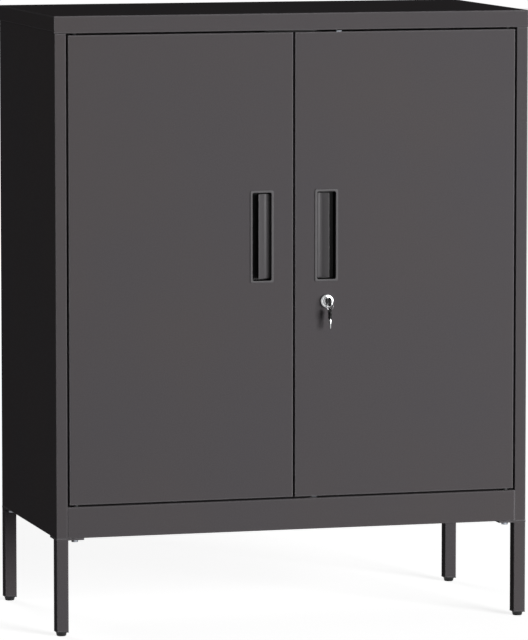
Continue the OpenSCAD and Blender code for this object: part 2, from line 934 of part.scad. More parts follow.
module upper_lock_bar() {
    lock_bar(1, upper_bar_x, door_hi + bar_tip);
}

module lower_lock_bar() {
    lock_bar(-1, lower_bar_x, door_lo - bar_tip);
}

// Nylon blocks on the door's skin that a bar slides through
module bar_guides(x, heights) {
    color(NYLON) for (z = heights)
        difference() {
            block([x - guide_w / 2, front + sheet, z - guide_h / 2],
                  [x + guide_w / 2, front + sheet + guide_d, z + guide_h / 2]);
            bar_slot(x, z - guide_h, z + guide_h, touch_fit);
        }
}

module upper_bar_guides() {
    bar_guides(upper_bar_x, upper_guide_z);
}

module lower_bar_guides() {
    bar_guides(lower_bar_x, lower_guide_z);
}

// ---------------------------------------------------------------- keys

// Keys are drawn in the lock; the spare one is turned down and hung from the ring
module hung_from_ring() {
    translate([lock_x, front - hole_out, lock_z - spare_drop]) rotate([-90, 0, 0])
        translate([-lock_x, hole_out - front, -lock_z]) children();
}

module blade() {
    bevel = blade_h / 3;
    color(CHROME) difference() {
        translate([lock_x, 0, lock_z])
            block([-blade_t / 2, front - bow_start - 2, -blade_h / 2],
                  [blade_t / 2, front - bow_start + blade_len, blade_h / 2]);
        // the tip is cut off at a slant
        translate([lock_x, front - bow_start + blade_len, lock_z + blade_h / 2]) rotate([45, 0, 0])
            cube([blade_t + 1, bevel * 2, bevel * 2], center = true);
    }
}

module bow() {
    flat = bow_t / 2 - bow_edge;
    neck = bow_r * 0.72;
    color(BLACK) difference() {
        union() {
            translate([lock_x, front - bow_mid, lock_z]) rotate([0, 90, 0]) {
                cylinder(h = 2 * flat, r = bow_r, center = true);
                translate([0, 0, flat]) cylinder(h = bow_edge, r1 = bow_r, r2 = bow_r - bow_edge);
                translate([0, 0, -flat - bow_edge]) cylinder(h = bow_edge, r1 = bow_r - bow_edge, r2 = bow_r);
            }
            translate([lock_x, 0, lock_z])
                block([-bow_t / 2, front - bow_mid, -neck], [bow_t / 2, front - bow_start, neck]);
        }
        translate([lock_x, front - hole_out, lock_z]) rotate([0, 90, 0])
            cylinder(h = bow_t + 2, r = hole_r, center = true);
        translate([lock_x, 0, lock_z])
            block([-blade_t / 2, front - bow_start - 2, -blade_h / 2], [blade_t / 2, front, blade_h / 2]);
    }
}

module key_blade() {
    blade();
}

module key_bow() {
    bow();
}

module key_ring() {
    color(CHROME) translate([lock_x, front - hole_out, lock_z - ring_drop]) rotate([90, 0, 0])
        rotate_extrude() translate([ring_r, 0]) circle(r = wire_r, $fn = 24);
}

module spare_key_blade() {
    hung_from_ring() blade();
}

module spare_key_bow() {
    hung_from_ring() bow();
}

// ---------------------------------------------------------------- assembly

top_panel();
left_side_panel();
right_side_panel();
back_panel();
floor_panel();
bottom_rail();
door_stop();
left_front_upright();
left_rear_upright();
right_front_upright();
right_rear_upright();
upper_shelf();
lower_shelf();
upper_shelf_clips();
lower_shelf_clips();
front_left_leg();
front_right_leg();
rear_left_leg();
rear_right_leg();
front_left_foot();
front_right_foot();
rear_left_foot();
rear_right_foot();
leg_bolts();
leg_nuts();
back_screws();
upper_hinge_bushes();
lower_hinge_bushes();
catch_case();
catch_magnets();
catch_screws();
door_buffers();
left_door_panel();
left_door_stiffener();
left_handle();
left_upper_pin();
left_lower_pin();
right_door_panel();
right_door_stiffener();
right_handle();
right_upper_pin();
right_lower_pin();
lock_body();
lock_nut();
lock_plug();
lock_crank();
crank_studs();
crank_screw();
upper_lock_bar();
lower_lock_bar();
upper_bar_guides();
lower_bar_guides();
key_blade();
key_bow();
key_ring();
spare_key_blade();
spare_key_bow();
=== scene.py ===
"""Steel storage cabinet with two hinged doors, on four square legs.

Lengths are metres, written as millimetres times MM. The cabinet stands on Z = 0
with its doors towards -Y, as the frame gives it.
"""
import json
import math

import bmesh
import bpy
from mathutils import Matrix, Vector


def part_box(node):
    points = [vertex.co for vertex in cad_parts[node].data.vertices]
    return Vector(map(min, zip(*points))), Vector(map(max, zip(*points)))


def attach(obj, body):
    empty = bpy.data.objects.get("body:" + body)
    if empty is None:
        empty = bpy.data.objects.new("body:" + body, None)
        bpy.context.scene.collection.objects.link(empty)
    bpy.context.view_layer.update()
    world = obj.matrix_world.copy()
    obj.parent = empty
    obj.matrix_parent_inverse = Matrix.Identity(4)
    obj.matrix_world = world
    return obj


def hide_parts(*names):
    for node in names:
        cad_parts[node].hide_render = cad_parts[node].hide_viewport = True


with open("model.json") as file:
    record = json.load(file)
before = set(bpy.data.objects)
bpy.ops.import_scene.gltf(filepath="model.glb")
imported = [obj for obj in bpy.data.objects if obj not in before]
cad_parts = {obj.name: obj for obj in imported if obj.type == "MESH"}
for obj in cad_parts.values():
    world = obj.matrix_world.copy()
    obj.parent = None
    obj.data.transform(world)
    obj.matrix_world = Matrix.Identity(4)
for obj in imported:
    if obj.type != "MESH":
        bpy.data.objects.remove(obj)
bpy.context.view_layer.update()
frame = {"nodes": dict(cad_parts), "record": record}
MM = 0.001


# ---------------------------------------------------------------- camera
# A long lens, a little above the top and to the left of the middle, so that
# the left side shows as a narrow strip.
CAMERA_AT = (-2.3295, -8.3733, 1.4155)
LOOKS_DOWN = math.radians(6.115)
LOOKS_RIGHT = math.radians(15.578)

bpy.ops.object.select_all(action="DESELECT")
bpy.ops.object.camera_add(location=CAMERA_AT, rotation=(math.pi / 2 - LOOKS_DOWN, 0, -LOOKS_RIGHT))
camera = bpy.context.object
camera.data.lens = 295
camera.data.sensor_width = 36
camera.data.clip_end = 60
bpy.context.scene.camera = camera


# ---------------------------------------------------------------- painted sheet steel
# The body, doors, shelves and legs are cold-rolled sheet, folded, welded and
# coated with a dark grey powder that is baked on. The coat is satin, with a
# fine peel, and a pale line is painted along every fold as its highlight.
COAT_WARM = "#5c5757"
COAT_COOL = "#575559"
COAT_FOLD_HIGHLIGHT = "#918f92"
PEEL = 2.2 * MM
GRAIN = 1.6 * MM
CLOUD = 260 * MM
FOLD_LINE = 2.8 * MM
STEEL_NODES = [
    "top_panel", "left_side_panel", "right_side_panel", "back_panel", "floor_panel",
    "bottom_rail", "door_stop", "upper_shelf", "lower_shelf",
    "left_front_upright", "left_rear_upright", "right_front_upright", "right_rear_upright",
    "front_left_leg", "front_right_leg", "rear_left_leg", "rear_right_leg",
    "left_door_panel", "left_door_stiffener", "right_door_panel", "right_door_stiffener",
]


def tone(code):
    """Linear colour of an sRGB hex code"""
    parts = [int(code[i:i + 2], 16) / 255 for i in (1, 3, 5)]
    return [p / 12.92 if p <= 0.04045 else ((p + 0.055) / 1.055) ** 2.4 for p in parts] + [1]


def new_material(name):
    """A material with an empty node tree"""
    material = bpy.data.materials.new(name)
    material.use_nodes = True
    material.node_tree.nodes.clear()
    return material


def add(material, kind, settings=None, links=None):
    """A new shader node, with its settings and what runs into its sockets"""
    node = material.node_tree.nodes.new(kind)
    for key, value in (settings or {}).items():
        if isinstance(key, str) and hasattr(node, key):
            setattr(node, key, value)
        else:
            node.inputs[key].default_value = value
    for key, source in (links or {}).items():
        material.node_tree.links.new(source, node.inputs[key])
    return node


def paint_with(piece, material):
    """Gives a piece this one material"""
    piece.data.materials.clear()
    piece.data.materials.append(material)


def edge_mask(material, width):
    """The rounded normal, and a mask that is 1 on a sharp edge and 0 on a flat or gently
    curved face, where the rounded and the true normal are nearly the same"""
    rounded = add(material, "ShaderNodeBevel", {"samples": 6, "Radius": width})
    flat = add(material, "ShaderNodeNewGeometry")
    same = add(material, "ShaderNodeVectorMath", {"operation": "DOT_PRODUCT"},
               {0: rounded.outputs["Normal"], 1: flat.outputs["Normal"]})
    mask = add(material, "ShaderNodeMapRange", {"From Min": 0.98, "From Max": 0.8},
               {"Value": same.outputs["Value"]})
    return rounded, mask


# Baked powder looks matt and even, with a fine peel. The peel and the grain are drawn
# coarser than the real ones, which are too fine to show, and a wide cloud varies the tone.
powder_coat = new_material("powder_coated_steel")
place = add(powder_coat, "ShaderNodeTexCoord")
peel = add(powder_coat, "ShaderNodeTexNoise", {"Scale": 1 / PEEL, "Detail": 1.5},
           {"Vector": place.outputs["Object"]})
grain = add(powder_coat, "ShaderNodeTexNoise", {"Scale": 1 / GRAIN, "Detail": 2},
            {"Vector": place.outputs["Object"]})
cloud = add(powder_coat, "ShaderNodeTexNoise", {"Scale": 1 / CLOUD, "Detail": 2},
            {"Vector": place.outputs["Object"]})
tint = add(powder_coat, "ShaderNodeMix",
           {"data_type": "RGBA", 6: tone(COAT_COOL), 7: tone(COAT_WARM)}, {0: cloud.outputs["Fac"]})
fleck = add(powder_coat, "ShaderNodeMapRange",
            {"From Min": 0.3, "From Max": 0.7, "To Min": 0.9, "To Max": 1.1},
            {"Value": grain.outputs["Fac"]})
flecked = add(powder_coat, "ShaderNodeVectorMath", {"operation": "SCALE"},
              {0: tint.outputs[2], "Scale": fleck.outputs["Result"]})
# A pale colour is painted along every fold, as the highlight the rounded folds catch from the lamps
coat_fold, coat_highlight_mask = edge_mask(powder_coat, FOLD_LINE)
coat_colour = add(powder_coat, "ShaderNodeMix", {"data_type": "RGBA", 7: tone(COAT_FOLD_HIGHLIGHT)},
                  {0: coat_highlight_mask.outputs["Result"], 6: flecked.outputs["Vector"]})
coat_rough = add(powder_coat, "ShaderNodeMapRange", {"To Min": 0.5, "To Max": 0.62},
                 {"Value": peel.outputs["Fac"]})
coat_bump = add(powder_coat, "ShaderNodeBump", {"Strength": 0.25, "Distance": 0.04 * MM},
                {"Height": peel.outputs["Fac"], "Normal": coat_fold.outputs["Normal"]})
coat_shader = add(powder_coat, "ShaderNodeBsdfPrincipled", {"Specular IOR Level": 0.0},
                  {"Base Color": coat_colour.outputs[2], "Roughness": coat_rough.outputs["Result"],
                   "Normal": coat_bump.outputs["Normal"]})
add(powder_coat, "ShaderNodeOutputMaterial", links={"Surface": coat_shader.outputs["BSDF"]})

for name in STEEL_NODES:
    paint_with(frame["nodes"][name], powder_coat)


# ---------------------------------------------------------------- feet
# Each leg stands on a round pad of black polyethylene with a knurled edge that
# widens to a square collar. The collar caps the tube and a plug is pressed into it.
PAD_R = 8 * MM
PAD_RIM = 1.2 * MM
PAD_EDGE = 2.8 * MM
PAD_STEP = 0.3 * MM
KNURLS = 40
KNURL_GAP = 0.18 * MM
KNURL_DEPTH = 0.3 * MM
COLLAR = 1.6 * MM
COLLAR_ROUND = 0.45 * MM
NECK_INSET = 1 * MM
TUBE_WALL = 1.4 * MM
PLUG_ROUND = 0.5 * MM
BLACK = "#141415"
BLACK_WORN = "#2a2a2c"


def pick(piece, kind, test):
    """Selects the points, edges or faces whose points all pass a test"""
    bpy.ops.mesh.select_mode(type=kind)
    bpy.ops.mesh.select_all(action="DESELECT")
    shape = bmesh.from_edit_mesh(piece.data)
    group = {"VERT": shape.verts, "EDGE": shape.edges, "FACE": shape.faces}[kind]
    for part in group:
        points = [part.co] if kind == "VERT" else [v.co for v in part.verts]
        part.select_set(all(test(p) for p in points))
    bmesh.update_edit_mesh(piece.data)


def placed(name, data):
    """A new object in the scene with this mesh, curve or lamp"""
    piece = bpy.data.objects.new(name, data)
    bpy.context.scene.collection.objects.link(piece)
    return piece


def only(piece):
    """Selects one piece alone and makes it the active one"""
    bpy.ops.object.select_all(action="DESELECT")
    piece.select_set(True)
    bpy.context.view_layer.objects.active = piece


def turned_piece(name, centre, axis, outline, steps):
    """A solid turned about an axis from (radius, distance along the axis) points"""
    ends_on_axis = outline[0][0] == 0 and outline[-1][0] == 0
    count = len(outline)
    points = [Vector(centre) + Vector((r, 0, 0)) + Vector(axis) * d for r, d in outline]
    edges = [(i, (i + 1) % count) for i in range(count - 1 if ends_on_axis else count)]
    mesh = bpy.data.meshes.new(name)
    mesh.from_pydata(points, edges, [])
    piece = placed(name, mesh)
    only(piece)
    bpy.ops.object.mode_set(mode="EDIT")
    bpy.ops.mesh.select_all(action="SELECT")
    bpy.ops.mesh.spin(steps=steps, angle=math.tau, center=centre, axis=axis)
    bpy.ops.mesh.select_all(action="SELECT")
    bpy.ops.mesh.remove_doubles(threshold=0.001 * MM)
    bpy.ops.mesh.normals_make_consistent(inside=False)
    bpy.ops.object.mode_set(mode="OBJECT")
    return piece


def rounded_block(name, low, high, width, segments=3):
    """A block between two corners with its edges rounded"""
    low, high = Vector(low), Vector(high)
    bpy.ops.object.select_all(action="DESELECT")
    bpy.ops.mesh.primitive_cube_add(size=1, location=(low + high) / 2)
    piece = bpy.context.object
    piece.name = name
    piece.scale = high - low
    bpy.ops.object.transform_apply(location=True, rotation=True, scale=True)
    bevel = piece.modifiers.new("round", "BEVEL")
    bevel.width = width
    bevel.segments = segments
    bpy.ops.object.modifier_apply(modifier="round")
    return piece


def joined(name, pieces):
    """One object out of several"""
    bpy.ops.object.select_all(action="DESELECT")
    for piece in pieces:
        piece.select_set(True)
    bpy.context.view_layer.objects.active = pieces[0]
    if len(pieces) > 1:
        bpy.ops.object.join()
    pieces[0].name = name
    return pieces[0]


def fitted(piece, body, nodes, material):
    """Smooths a finished piece, gives it its finish and puts it on its body"""
    only(piece)
    bpy.ops.object.transform_apply(location=True, rotation=True, scale=True)
    bpy.ops.object.shade_smooth_by_angle(angle=math.radians(32))
    paint_with(piece, material)
    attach(piece, body)
    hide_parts(*nodes)
    return piece


# Moulded polyethylene is black with a dull spark, and is scuffed to grey on its edges
black_plastic = new_material("moulded_black_polyethylene")
place = add(black_plastic, "ShaderNodeTexCoord")
spark = add(black_plastic, "ShaderNodeTexNoise", {"Scale": 1 / (0.6 * MM), "Detail": 2},
            {"Vector": place.outputs["Object"]})
scuff = add(black_plastic, "ShaderNodeTexNoise", {"Scale": 1 / (5 * MM), "Detail": 4},
            {"Vector": place.outputs["Object"]})
plastic_fold, plastic_mask = edge_mask(black_plastic, 0.5 * MM)
plastic_worn = add(black_plastic, "ShaderNodeMath", {"operation": "MULTIPLY"},
                   {0: plastic_mask.outputs["Result"], 1: scuff.outputs["Fac"]})
plastic_colour = add(black_plastic, "ShaderNodeMix",
                     {"data_type": "RGBA", 6: tone(BLACK), 7: tone(BLACK_WORN)},
                     {0: plastic_worn.outputs["Value"]})
plastic_bump = add(black_plastic, "ShaderNodeBump", {"Strength": 0.3, "Distance": 0.03 * MM},
                   {"Height": spark.outputs["Fac"], "Normal": plastic_fold.outputs["Normal"]})
plastic_rough = add(black_plastic, "ShaderNodeMapRange", {"To Min": 0.38, "To Max": 0.52},
                    {"Value": scuff.outputs["Fac"]})
plastic_shader = add(black_plastic, "ShaderNodeBsdfPrincipled", {"Specular IOR Level": 0.3},
                     {"Base Color": plastic_colour.outputs[2],
                      "Roughness": plastic_rough.outputs["Result"],
                      "Normal": plastic_bump.outputs["Normal"]})
add(black_plastic, "ShaderNodeOutputMaterial", links={"Surface": plastic_shader.outputs["BSDF"]})

for name in ("front_left_foot", "front_right_foot", "rear_left_foot", "rear_right_foot"):
    foot_low, foot_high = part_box(name)
    tube_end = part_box(name.replace("foot", "leg"))[0].z
    middle = (foot_low + foot_high) / 2
    pad_top = tube_end - COLLAR
    neck_r = (foot_high.x - foot_low.x) / 2 - NECK_INSET
    outline = [(0, 0), (PAD_R - PAD_RIM, 0), (PAD_R, PAD_RIM), (PAD_R, PAD_EDGE),
               (PAD_R + PAD_STEP, PAD_EDGE + PAD_STEP), (neck_r, pad_top), (0, pad_top)]
    pad = turned_piece(name + "_pad", (middle.x, middle.y, 0), (0, 0, 1), outline, KNURLS)
    bpy.ops.object.mode_set(mode="EDIT")
    pick(pad, "FACE",
         lambda p: abs(math.hypot(p.x - middle.x, p.y - middle.y) - PAD_R) < 0.2 * MM)
    bpy.ops.mesh.inset(thickness=KNURL_GAP, depth=-KNURL_DEPTH, use_individual=True)
    bpy.ops.object.mode_set(mode="OBJECT")
    collar = rounded_block(name + "_collar", (foot_low.x, foot_low.y, pad_top),
                           (foot_high.x, foot_high.y, tube_end), COLLAR_ROUND)
    plug = rounded_block(
        name + "_plug",
        (foot_low.x + TUBE_WALL, foot_low.y + TUBE_WALL, tube_end - PLUG_ROUND),
        (foot_high.x - TUBE_WALL, foot_high.y - TUBE_WALL, foot_high.z), PLUG_ROUND)
    foot = joined(name + "_moulding", [pad, collar, plug])
    fitted(foot, "cabinet", [name], black_plastic)


# ---------------------------------------------------------------- rail welds
# Two seams of weld metal close the corners where the ends of the bottom rail meet
# the stiles. They lie behind the front faces and are coated with the body.
WELD = 1.6 * MM
WELD_SET_BACK = 0.3 * MM
WELD_ROUND = 0.1 * MM
rail_low, rail_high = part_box("bottom_rail")
for name, seam_x in (("left_rail_weld", rail_low.x), ("right_rail_weld", rail_high.x)):
    seam = rounded_block(
        name, (seam_x - WELD, rail_low.y + WELD_SET_BACK, rail_low.z + WELD_SET_BACK),
        (seam_x + WELD, rail_low.y + 2 * WELD, rail_high.z - WELD_SET_BACK), WELD_ROUND)
    fitted(seam, "cabinet", [], powder_coat)


# ---------------------------------------------------------------- bolts, nuts and clips
# Hexagon bolts with nuts hold the legs and pan-head screws the back. The shelves
# rest on bent clips. All are steel with a bright zinc plating, slightly blue and mottled.
ZINC = "#8b8d91"
ZINC_BLUE = "#747a82"
SMALL_ROUND = 0.3 * MM

# Zinc plate gives a soft metal shine with slow blue-grey patches
zinc = new_material("zinc_plated_steel")
place = add(zinc, "ShaderNodeTexCoord")
mottle = add(zinc, "ShaderNodeTexNoise", {"Scale": 1 / (3 * MM), "Detail": 4},
             {"Vector": place.outputs["Object"]})
zinc_colour = add(zinc, "ShaderNodeMix", {"data_type": "RGBA", 6: tone(ZINC_BLUE), 7: tone(ZINC)},
                  {0: mottle.outputs["Fac"]})
zinc_rough = add(zinc, "ShaderNodeMapRange", {"To Min": 0.4, "To Max": 0.6},
                 {"Value": mottle.outputs["Fac"]})
zinc_fold = add(zinc, "ShaderNodeBevel", {"samples": 4, "Radius": SMALL_ROUND})
zinc_bump = add(zinc, "ShaderNodeBump", {"Strength": 0.2, "Distance": 0.02 * MM},
                {"Height": mottle.outputs["Fac"], "Normal": zinc_fold.outputs["Normal"]})
zinc_shader = add(zinc, "ShaderNodeBsdfPrincipled", {"Metallic": 1},
                  {"Base Color": zinc_colour.outputs[2], "Roughness": zinc_rough.outputs["Result"],
                   "Normal": zinc_bump.outputs["Normal"]})
add(zinc, "ShaderNodeOutputMaterial", links={"Surface": zinc_shader.outputs["BSDF"]})


def body_of(node):
    """The moving body that a CAD node belongs to"""
    return next(b for b, names in frame["record"]["behaviour"]["bodies"].items() if node in names)


def softened(node, material, width):
    """A copy of a CAD node with its edges rounded, which takes the node's place"""
    piece = placed(node + "_finished", frame["nodes"][node].data.copy())
    only(piece)
    bpy.ops.object.mode_set(mode="EDIT")
    bpy.ops.mesh.select_all(action="SELECT")
    bpy.ops.mesh.remove_doubles(threshold=0.001 * MM)
    bpy.ops.mesh.dissolve_limited(angle_limit=math.radians(1))
    bpy.ops.object.mode_set(mode="OBJECT")
    bevel = piece.modifiers.new("round", "BEVEL")
    bevel.width = width
    bevel.segments = 2
    bevel.limit_method = "ANGLE"
    bevel.angle_limit = math.radians(35)
    bpy.ops.object.modifier_apply(modifier="round")
    return fitted(piece, body_of(node), [node], material)


for name in ("leg_bolts", "leg_nuts", "upper_shelf_clips", "lower_shelf_clips"):
    softened(name, zinc, SMALL_ROUND)

# Pan-head screws with a cross recess, five up each side of the back and three along the
# floor tray. The outline runs from the screw's point to the crown of its head.
SCREW_HEAD_R = 3.8 * MM
SCREW_HEAD_H = 2.2 * MM
SCREW_R = 1.9 * MM
SCREW_LEN = 11 * MM
SCREW_POINT = 2 * MM
CROSS_W = 1.1 * MM
CROSS_LEN = 4.2 * MM
CROSS_DEPTH = 1.3 * MM
FLOOR_SCREW_X = (-250 * MM, 0, 250 * MM)
FLOOR_SCREW_RISE = 4 * MM
screws_low, screws_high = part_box("back_screws")
side_x = screws_high.x - SCREW_HEAD_R
side_from = screws_low.z + SCREW_HEAD_R
side_step = (screws_high.z - screws_low.z - 2 * SCREW_HEAD_R) / 4
screw_places = [(s * side_x, side_from + i * side_step) for s in (-1, 1) for i in range(5)]
screw_places += [(x, side_from + FLOOR_SCREW_RISE) for x in FLOOR_SCREW_X]
head_top = screws_high.y
head_foot = head_top - SCREW_HEAD_H
screw_end = head_foot - SCREW_LEN
outline = [(0, screw_end), (SCREW_R * 0.6, screw_end),
           (SCREW_R, screw_end + SCREW_POINT), (SCREW_R, head_foot),
           (SCREW_HEAD_R * 0.97, head_foot), (SCREW_HEAD_R, head_foot + 0.6 * MM),
           (SCREW_HEAD_R * 0.92, head_foot + 1.5 * MM), (SCREW_HEAD_R * 0.7, head_top - 0.2 * MM),
           (SCREW_HEAD_R * 0.3, head_top), (0, head_top)]
pattern = turned_piece("screw", (0, 0, 0), (0, 1, 0), outline, 32)
for turn in (0, 90):
    blade = rounded_block("cross", (-CROSS_W / 2, head_top - CROSS_DEPTH, -CROSS_LEN / 2),
                          (CROSS_W / 2, head_top + 1 * MM, CROSS_LEN / 2), 0.1 * MM, 1)
    blade.data.transform(Matrix.Rotation(math.radians(turn), 4, "Y"))
    cut = pattern.modifiers.new("cut", "BOOLEAN")
    cut.object = blade
    cut.operation = "DIFFERENCE"
    only(pattern)
    bpy.ops.object.modifier_apply(modifier="cut")
    bpy.data.objects.remove(blade)
screws = []
for x, z in screw_places:
    screw = placed("screw", pattern.data.copy())
    screw.data.transform(Matrix.Translation((x, 0, z)))
    screws.append(screw)
bpy.data.objects.remove(pattern)
fitted(joined("back_pan_heads", screws), "cabinet", ["back_screws"], zinc)


# ---------------------------------------------------------------- hinges, catch and stops
# Each door turns on two blackened steel pins in black plastic bushes. Two ferrite magnets
# sit in a case under the top, rubber domes stop the doors and nylon guides hold the bars.
NYLON = ("#dcd8cb", "#e6e3d8")
RUBBER = ("#1d1d1e", "#2b2b2c")
FERRITE = ("#3a3a3d", "#4a4a4e")
OXIDE = ("#111113", "#1c1c1f")

# Natural nylon is milky and waxy, with faint flow marks
nylon = new_material("natural_nylon")
place = add(nylon, "ShaderNodeTexCoord")
flow = add(nylon, "ShaderNodeTexNoise", {"Scale": 1 / (4 * MM), "Detail": 2},
           {"Vector": place.outputs["Object"]})
nylon_colour = add(nylon, "ShaderNodeMix",
                   {"data_type": "RGBA", 6: tone(NYLON[0]), 7: tone(NYLON[1])},
                   {0: flow.outputs["Fac"]})
nylon_bump = add(nylon, "ShaderNodeBump", {"Strength": 0.2, "Distance": 0.03 * MM},
                 {"Height": flow.outputs["Fac"]})
nylon_shader = add(nylon, "ShaderNodeBsdfPrincipled", {"Roughness": 0.42, "IOR": 1.53},
                   {"Base Color": nylon_colour.outputs[2], "Normal": nylon_bump.outputs["Normal"]})
add(nylon, "ShaderNodeOutputMaterial", links={"Surface": nylon_shader.outputs["BSDF"]})

# Moulded rubber is nearly black and dull, with a little dust on it
rubber = new_material("moulded_rubber")
place = add(rubber, "ShaderNodeTexCoord")
dust = add(rubber, "ShaderNodeTexNoise", {"Scale": 1 / (1.5 * MM), "Detail": 3},
           {"Vector": place.outputs["Object"]})
rubber_colour = add(rubber, "ShaderNodeMix",
                    {"data_type": "RGBA", 6: tone(RUBBER[0]), 7: tone(RUBBER[1])},
                    {0: dust.outputs["Fac"]})
rubber_bump = add(rubber, "ShaderNodeBump", {"Strength": 0.4, "Distance": 0.05 * MM},
                  {"Height": dust.outputs["Fac"]})
rubber_shader = add(rubber, "ShaderNodeBsdfPrincipled",
                    {"Roughness": 0.8, "Specular IOR Level": 0.25},
                    {"Base Color": rubber_colour.outputs[2],
                     "Normal": rubber_bump.outputs["Normal"]})
add(rubber, "ShaderNodeOutputMaterial", links={"Surface": rubber_shader.outputs["BSDF"]})

# Sintered ferrite is a dark grey ceramic with a grainy face
ferrite = new_material("sintered_ferrite")
place = add(ferrite, "ShaderNodeTexCoord")
sinter = add(ferrite, "ShaderNodeTexNoise", {"Scale": 1 / (0.8 * MM), "Detail": 5},
             {"Vector": place.outputs["Object"]})
ferrite_colour = add(ferrite, "ShaderNodeMix",
                     {"data_type": "RGBA", 6: tone(FERRITE[0]), 7: tone(FERRITE[1])},
                     {0: sinter.outputs["Fac"]})
ferrite_bump = add(ferrite, "ShaderNodeBump", {"Strength": 0.5, "Distance": 0.04 * MM},
                   {"Height": sinter.outputs["Fac"]})
ferrite_shader = add(ferrite, "ShaderNodeBsdfPrincipled", {"Roughness": 0.5},
                     {"Base Color": ferrite_colour.outputs[2],
                      "Normal": ferrite_bump.outputs["Normal"]})
add(ferrite, "ShaderNodeOutputMaterial", links={"Surface": ferrite_shader.outputs["BSDF"]})

# Steel that is blackened in hot salts stays dark and dull, slightly uneven
black_oxide = new_material("black_oxide_steel")
place = add(black_oxide, "ShaderNodeTexCoord")
blueing = add(black_oxide, "ShaderNodeTexNoise", {"Scale": 1 / (4 * MM), "Detail": 4},
              {"Vector": place.outputs["Object"]})
oxide_colour = add(black_oxide, "ShaderNodeMix",
                   {"data_type": "RGBA", 6: tone(OXIDE[0]), 7: tone(OXIDE[1])},
                   {0: blueing.outputs["Fac"]})
oxide_bump = add(black_oxide, "ShaderNodeBump", {"Strength": 0.2, "Distance": 0.02 * MM},
                 {"Height": blueing.outputs["Fac"]})
oxide_shader = add(black_oxide, "ShaderNodeBsdfPrincipled",
                   {"Roughness": 0.6, "Specular IOR Level": 0.2},
                   {"Base Color": oxide_colour.outputs[2], "Normal": oxide_bump.outputs["Normal"]})
add(black_oxide, "ShaderNodeOutputMaterial", links={"Surface": oxide_shader.outputs["BSDF"]})

for name in ("upper_hinge_bushes", "lower_hinge_bushes"):
    softened(name, black_plastic, SMALL_ROUND)
for name in ("upper_bar_guides", "lower_bar_guides"):
    softened(name, nylon, SMALL_ROUND)
softened("catch_case", black_plastic, 0.6 * MM)
softened("catch_magnets", ferrite, SMALL_ROUND)
softened("catch_screws", zinc, SMALL_ROUND)
softened("door_buffers", rubber, 0.5 * MM)
for name in ("left_upper_pin", "left_lower_pin", "right_upper_pin", "right_lower_pin"):
    softened(name, black_oxide, 0.5 * MM)


# ---------------------------------------------------------------- handles
# A finger recess moulded in ABS, grey on its rim and curved grip plate to match the doors,
# while its walls and the slot are painted black as the shade deep in the recess.
RIM_W = 3.8 * MM
WALL = 1.2 * MM
RECESS_D = 15.8 * MM
CORNER_R = 3 * MM
GRIP_W = 21 * MM
GRIP_D = 8.2 * MM
GRIP_FLOOR = 9.8 * MM
GRIP_LIP = 0.4 * MM
GRIP_BEND = 5.6 * MM
LIP_BEND = 2.6 * MM
GRIP_SHORT = 2.5 * MM
HANDLE_ROUND = 0.5 * MM
HANDLE_GREY = "#565456"
HANDLE_SHADE_BLACK = "#0a0a0b"
HANDLE_EDGE_HIGHLIGHT = "#b0aeb1"
ON_PLANE = 0.01 * MM
door_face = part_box("right_door_panel")[0].y


def rounded_plate(middle, size, radius):
    """A flat plate towards -Y with round corners"""
    bpy.ops.object.select_all(action="DESELECT")
    bpy.ops.mesh.primitive_plane_add(size=1, location=middle, rotation=(math.pi / 2, 0, 0))
    plate = bpy.context.object
    plate.scale = (size[0], size[1], 1)
    bpy.ops.object.transform_apply(location=True, rotation=True, scale=True)
    bpy.ops.object.mode_set(mode="EDIT")
    bpy.ops.mesh.select_all(action="SELECT")
    bpy.ops.mesh.bevel(offset=radius, segments=6, affect="VERTICES")
    bpy.ops.object.mode_set(mode="OBJECT")
    return plate


# The cup: a rim flat on the door, and walls and a floor behind it
rim_low, rim_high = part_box("right_handle")
rim_middle = Vector(((rim_low.x + rim_high.x) / 2, rim_low.y, (rim_low.z + rim_high.z) / 2))
opening = (rim_high.x - rim_low.x - 2 * RIM_W, rim_high.z - rim_low.z - 2 * RIM_W)
cup = rounded_plate(rim_middle, opening, CORNER_R)
bpy.ops.object.mode_set(mode="EDIT")
bpy.ops.mesh.select_all(action="SELECT")
bpy.ops.mesh.extrude_region_move(
    TRANSFORM_OT_translate={"value": (0, door_face + RECESS_D - rim_low.y, 0)})
pick(cup, "FACE", lambda p: abs(p.y - rim_low.y) < ON_PLANE)
bpy.ops.mesh.delete(type="ONLY_FACE")
pick(cup, "EDGE", lambda p: abs(p.y - rim_low.y) < ON_PLANE)
bpy.ops.mesh.extrude_edges_move()
shape = bmesh.from_edit_mesh(cup.data)
for point in shape.verts:
    if point.select:
        point.co.x += math.copysign(RIM_W, point.co.x - rim_middle.x)
        point.co.z += math.copysign(RIM_W, point.co.z - rim_middle.z)
bmesh.update_edit_mesh(cup.data)
bpy.ops.mesh.select_all(action="SELECT")
bpy.ops.mesh.normals_make_consistent(inside=False)
bpy.ops.object.mode_set(mode="OBJECT")
if max(cup.data.polygons, key=lambda f: f.area).normal.y > 0:
    cup.data.flip_normals()
wall = cup.modifiers.new("wall", "SOLIDIFY")
wall.thickness = WALL
wall.offset = -1
wall.use_even_offset = True
bpy.ops.object.modifier_apply(modifier="wall")

